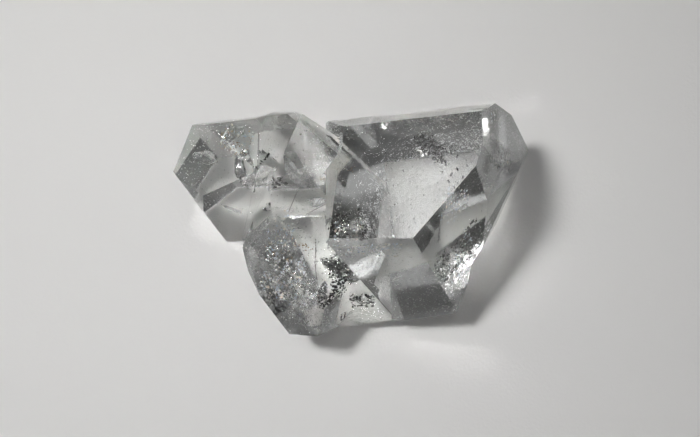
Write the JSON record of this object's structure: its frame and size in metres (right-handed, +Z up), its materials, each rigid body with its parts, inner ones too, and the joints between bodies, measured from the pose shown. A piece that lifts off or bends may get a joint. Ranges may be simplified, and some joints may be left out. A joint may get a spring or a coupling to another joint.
{
  "type": "herkimer diamond quartz cluster",
  "caption": "Natural cluster of clear, doubly terminated quartz crystals grown together side by side, lying on its flat lower faces.",
  "frame": {"origin": "on the surface the cluster rests on, under the middle of its outline", "axes": "+Z up from the resting face, +X along the cluster's longest side towards the large crystal, +Y towards the back"},
  "size_m": [0.0446, 0.0272, 0.021],
  "materials": {
    "quartz": "clear, bright natural crystal faces"
  },
  "bodies": {
    "root": {"quartz_cluster": "quartz"}
  },
  "joints": []
}
